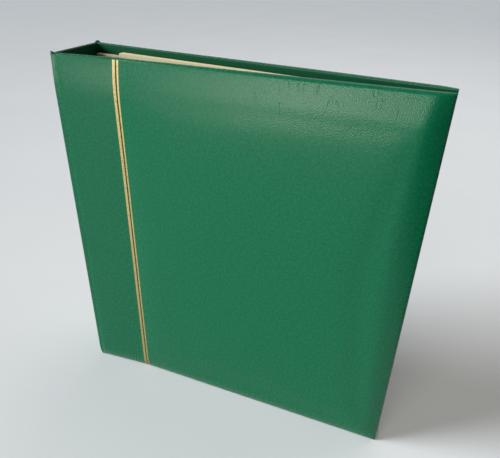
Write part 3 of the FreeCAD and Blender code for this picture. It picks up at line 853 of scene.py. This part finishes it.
fold_places = FOLD + np.linspace(-0.6, 0.6, 9)
start, end = STRIP_ZERO + LINING_FROM_SPINE, FRONT_EDGE - LINING_FROM_EDGE
front_lining = lining("front_cover_lining", start, end, LINING_BACK, LINING_FACE, fold_places)
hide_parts("strip_lining", "front_lining")
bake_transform(front_lining)
start, end = BACK_EDGE + LINING_FROM_EDGE, BACK_ZERO - LINING_FROM_SPINE
back_lining = lining("back_cover_lining", start, end, LINING_BACK, LINING_FACE)
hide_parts("back_lining")
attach(back_lining, "back_cover")
start, end = SPINE_BACK + SPINE_LINING_SHORT, SPINE_FRONT - SPINE_LINING_SHORT
spine_lining = lining("spine_lining_panel", start, end, SPINE_LINING_BACK, SPINE_LINING_FACE)
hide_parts("spine_lining")
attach(spine_lining, "spine")

# %% [markdown]
# ## The inner corners
#
# A strip of the lining paper goes round each inner corner of the spine. It follows a short path of its
# own: a straight on the spine, a bend, a straight on the cover.

# %% Linings of the inner corners
STRIP_RADIUS, STRIP_LEG, STRIP_THICK, STRIP_PROUD = 1.2, 6.0, 0.3, 0.04
STRIP_STEP, STRIP_BEND_POINTS = 2.0, 11


def corner_lining(name, side, lean):
    """A strip of lining round one inner corner; side is 1 at the front and -1 at the back.

    The corner is where the spine lining's face meets the cover lining's, found from the cover's lean,
    and the strip's bend touches both faces before it and after it.
    """
    turn, slope = np.radians(90 + lean), np.radians(lean)
    bend, before = STRIP_RADIUS * turn, STRIP_RADIUS * np.tan(turn / 2)
    reach = (SPINE_LINING_FACE + LINING_FACE * np.sin(slope)) / np.cos(slope)
    corner_y = SPINE_WIDTH / 2 - reach * np.sin(slope) - LINING_FACE * np.cos(slope)
    start, end = (0, bend) if side > 0 else (-bend, 0)
    headings = (-90, lean) if side > 0 else (-180 - lean, -90)
    stations = [start - 2 * STRIP_LEG, start, end, end + 2 * STRIP_LEG]
    zero = (SPINE_FACE + SPINE_LINING_FACE, side * (before - corner_y))
    place = walk(stations, np.repeat(headings, 2), zero)
    strip_rim = STRIP_THICK / 2
    bend_places = np.linspace(start, end, STRIP_BEND_POINTS)
    along = net_line(start - STRIP_LEG, end + STRIP_LEG, strip_rim, STRIP_STEP, bend_places)
    piece = shell(name, place, along, lining_up, STRIP_THICK - STRIP_PROUD, -STRIP_PROUD, strip_rim)
    dress(piece, lining_paper)
    place(start, 0, 0).tolist()
    place(end, 0, 0).tolist()
    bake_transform(piece)


corner_lining("front_corner_lining", 1, STRIP_ANGLE)
corner_lining("back_corner_lining", -1, BACK_ANGLE)

# %% [markdown]
# ## Cream card
#
# The leaves and their stubs are cut from plain cream card. It is matt, a little uneven in colour with
# age, and its fibres give it a slight tooth.

# %% Cream card
FIBRE, AGE = 3 * MM, 80 * MM

cream_card, tree, _, cream = mottled_material("cream_card", "#D6C797", "#E0D2A9", size=AGE, detail=2.0)
where = add_node(tree, "ShaderNodeTexCoord", {}).outputs["Object"]
settings = {"Vector": where, "Scale": 1 / FIBRE, "Detail": 5.0}
fibres = add_node(tree, "ShaderNodeTexNoise", settings).outputs[0]
raised = {"Height": fibres, "Strength": 0.15, "Distance": 0.2 * MM}
bump = add_node(tree, "ShaderNodeBump", raised).outputs[0]
finish_material(tree, Base_Color=cream, Roughness=0.75, Normal=bump)
print("cream card: fibres", FIBRE / MM, "mm")

# %% [markdown]
# ## Woven linen
#
# Each leaf hangs from its stub on a strip of linen, whose threads cross at right angles. Two sine
# waves, one along and one across, give such a weave when they are multiplied.

# %% Woven linen
THREAD = 0.7 * MM
# A wave texture with scale s has a period of 2 pi / (20 s).
WAVE_SCALE = 2 * np.pi / 20 / THREAD

woven_linen, tree = new_material("woven_linen")
flat = add_node(tree, "ShaderNodeUVMap", {}, uv_map="UVMap").outputs[0]
waves = {"Vector": flat, "Scale": WAVE_SCALE}
warp = add_node(tree, "ShaderNodeTexWave", waves, bands_direction="X").outputs[1]
weft = add_node(tree, "ShaderNodeTexWave", waves, bands_direction="Y").outputs[1]
weave = add_node(tree, "ShaderNodeMath", {0: warp, 1: weft}, operation="MULTIPLY").outputs[0]
colours = {0: weave, 6: linear("#B9AB8A"), 7: linear("#DDD2B6")}
ecru = add_node(tree, "ShaderNodeMix", colours, data_type="RGBA").outputs[2]
bump = add_node(tree, "ShaderNodeBump", {"Height": weave, "Strength": 0.5, "Distance": 0.2 * MM}).outputs[0]
finish_material(tree, Base_Color=ecru, Roughness=0.85, Normal=bump)
print("linen: threads", THREAD / MM, "mm apart")

# %% [markdown]
# ## The leaves
#
# The twelve leaves lie one on another in front of the back cover, a small pitch apart. Card is never
# quite flat, so all the leaves share one slow bow, which keeps them from touching. Each turns on the
# linen at its joint.

# %% Leaves and their joints
LEAF_COUNT = 12
STUB_FOOT, LEAF_PITCH, LEAF_AXIS = 5.0, 0.42, 28.0
LEAF_START, LEAF_END, LEAF_FOOT, LEAF_HEAD, LEAF_HALF = 32.0, 284.0, 3.75, 304.7, 0.15
LINEN_START, LINEN_END, LINEN_FOOT, LINEN_HEAD, LINEN_HALF = 26.7, 34.0, 7.45, 302.05, 0.17
BEND_BEFORE, BEND_AFTER = -0.2, 1.2
BOW_WIDE, BOW_TURN, BOW_LEAN = 0.25, 3.5, 90
BOW_TALL, BOW_RISE, BOW_SHIFT = 0.12, 45, 2
LEAF_STEP, LINEN_STEP, LINEN_STEP_UP = 8.0, 0.5, 20.0


def bow(along, up):
    """The slow bow that all the leaves share: two sine waves, under 0.4 mm together.

    They are multiplied by the share of the way from the joint, so they start from nothing there.
    """
    share = (BACK_ZERO - along - LEAF_START) / (LEAF_END - LEAF_START)
    wide = BOW_WIDE * np.sin(BOW_TURN * share + up / BOW_LEAN)
    tall = BOW_TALL * np.sin(up / BOW_RISE + BOW_SHIFT)
    return np.clip(share, 0, 1) * (wide + tall)


leaf_along = net_line(BACK_ZERO - LEAF_END, BACK_ZERO - LEAF_START, LEAF_HALF, LEAF_STEP)
leaf_up = net_line(LEAF_FOOT, LEAF_HEAD, LEAF_HALF, LEAF_STEP)
linen_along = net_line(BACK_ZERO - LINEN_END, BACK_ZERO - LINEN_START, LINEN_HALF, LINEN_STEP)
linen_up = net_line(LINEN_FOOT, LINEN_HEAD, LINEN_HALF, LINEN_STEP_UP)
for number in range(1, LEAF_COUNT + 1):
    tag = f"{number:02d}"
    depth = STUB_FOOT + (number - 0.5) * LEAF_PITCH
    middle = bow(leaf_along, leaf_up[:, None]) - depth
    faces = middle + LEAF_HALF, middle - LEAF_HALF
    leaf = shell(f"leaf_card_{tag}", on_cover, leaf_along, leaf_up, *faces, LEAF_HALF)
    dress(leaf, cream_card)
    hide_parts(f"leaf_sheet_{tag}")
    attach(leaf, f"leaf_{tag}")
    faces = LINEN_HALF - depth, -LINEN_HALF - depth
    joint = shell(f"leaf_joint_{tag}", on_cover, linen_along, linen_up, *faces, LINEN_HALF)
    dress(joint, woven_linen)
    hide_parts(f"leaf_linen_{tag}")
    ends = [on_cover(BACK_ZERO - LEAF_AXIS - step, -depth, 0).tolist() for step in (BEND_BEFORE, BEND_AFTER)]
    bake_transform(joint)

# %% [markdown]
# ## The fitting and the boards
#
# The bars, posts, rivets and screws have the right shape in the CAD model, and so do the boards, so
# they stay and get their materials: nickel-plated steel drawn through rollers, which leaves fine
# lines along it, turned brass with a little tarnish, and grey board of pressed paper fibre.

# %% Metal and board
DRAWN_LINE, TARNISH, PULP = 0.8 * MM, 2 * MM, 2 * MM
ALONG_BARS = (1.0, 1.0, 0.03)

plated_steel, tree, drawn, nickel = mottled_material(
    "nickel_plated_steel", "#B4B2AB", "#D0CFC9", size=DRAWN_LINE, detail=3.0, stretch=ALONG_BARS
)
polish = add_node(tree, "ShaderNodeMapRange", {"Value": drawn, "To Min": 0.18, "To Max": 0.4}).outputs[0]
finish_material(tree, Base_Color=nickel, Metallic=1.0, Roughness=polish)

turned_brass, tree, tarnish, yellow = mottled_material(
    "turned_brass", "#A9833F", "#D9B76A", size=TARNISH, detail=4.0
)
polish = add_node(tree, "ShaderNodeMapRange", {"Value": tarnish, "To Min": 0.2, "To Max": 0.45}).outputs[0]
finish_material(tree, Base_Color=yellow, Metallic=1.0, Roughness=polish)

greyboard, tree, _, grey = mottled_material("greyboard", "#8E877B", "#A9A294", size=PULP, detail=6.0)
finish_material(tree, Base_Color=grey, Roughness=0.9)

finishes = {
    plated_steel: ("peg_bar", "pressure_bar", "peg_bar_rivets"),
    turned_brass: ("binding_posts", "post_screws"),
    greyboard: ("spine_board", "strip_board", "front_board", "back_board"),
    cream_card: ("leaf_stubs",),
}
for material, names in finishes.items():
    for name in names:
        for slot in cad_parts[name].material_slots:
            slot.material = material
    print(material.name, "on", ", ".join(names))
